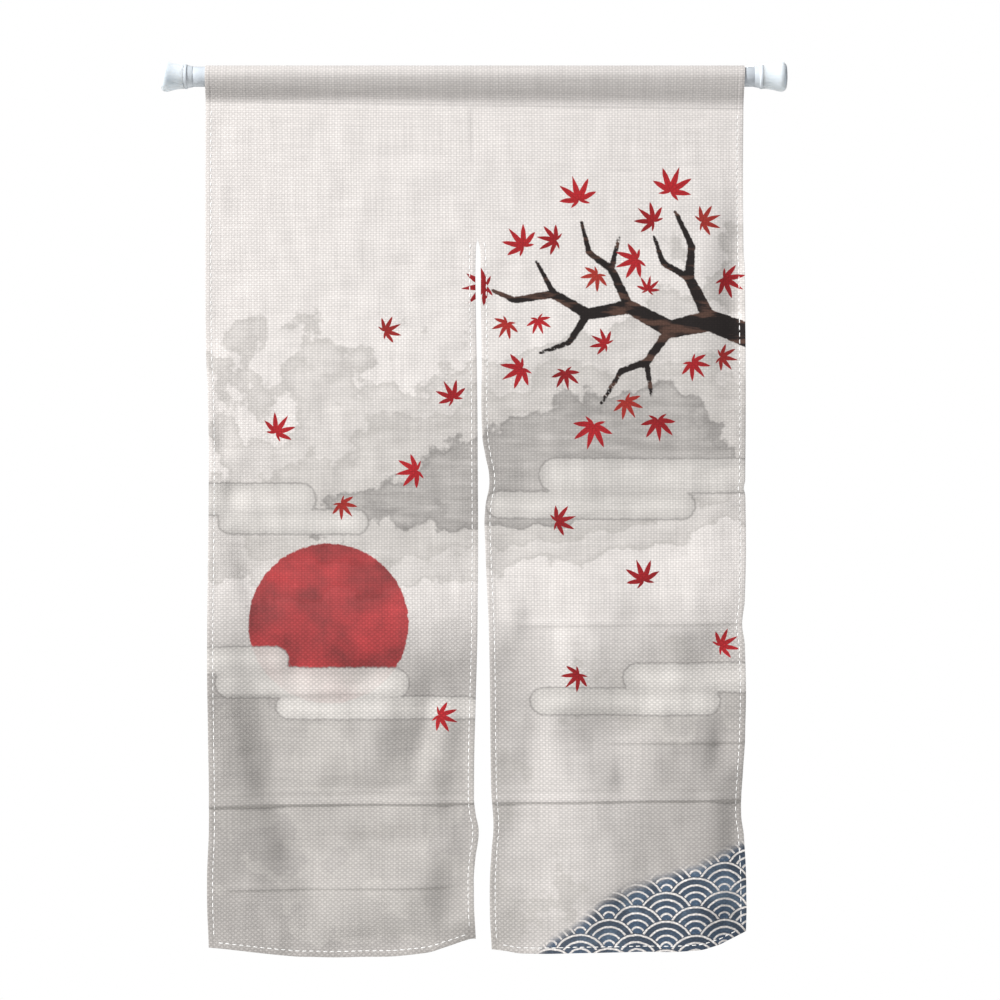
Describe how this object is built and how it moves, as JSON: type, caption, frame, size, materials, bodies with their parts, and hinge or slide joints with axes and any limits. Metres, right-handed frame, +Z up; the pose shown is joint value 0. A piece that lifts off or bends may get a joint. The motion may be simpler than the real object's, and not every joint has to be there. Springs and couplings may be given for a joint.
{
  "type": "noren curtain with tension rod",
  "caption": "Doorway curtain of two hemmed cloth panels with a centre slit, hung by its rod pocket on a straight tension rod with flared feet.",
  "frame": {"origin": "centre of the left foot's flat outer face, on the rod's axis", "axes": "+X along the rod from the left foot to the right foot, +Z up, the curtain's printed front faces -Y"},
  "size_m": [1, 0.048, 1.4308],
  "materials": {
    "cloth": "plain-woven linen-look cloth, off-white with a printed design",
    "rod_enamel": "smooth white enamel on steel tube",
    "sleeve_plastic": "glossy white plastic",
    "foot_plastic": "soft white plastic, satin"
  },
  "bodies": {
    "root": {"left_panel": "cloth", "right_panel": "cloth", "rod_tube": "rod_enamel", "left_sleeve": "sleeve_plastic", "right_sleeve": "sleeve_plastic", "left_foot": "foot_plastic", "right_foot": "foot_plastic"}
  },
  "joints": []
}
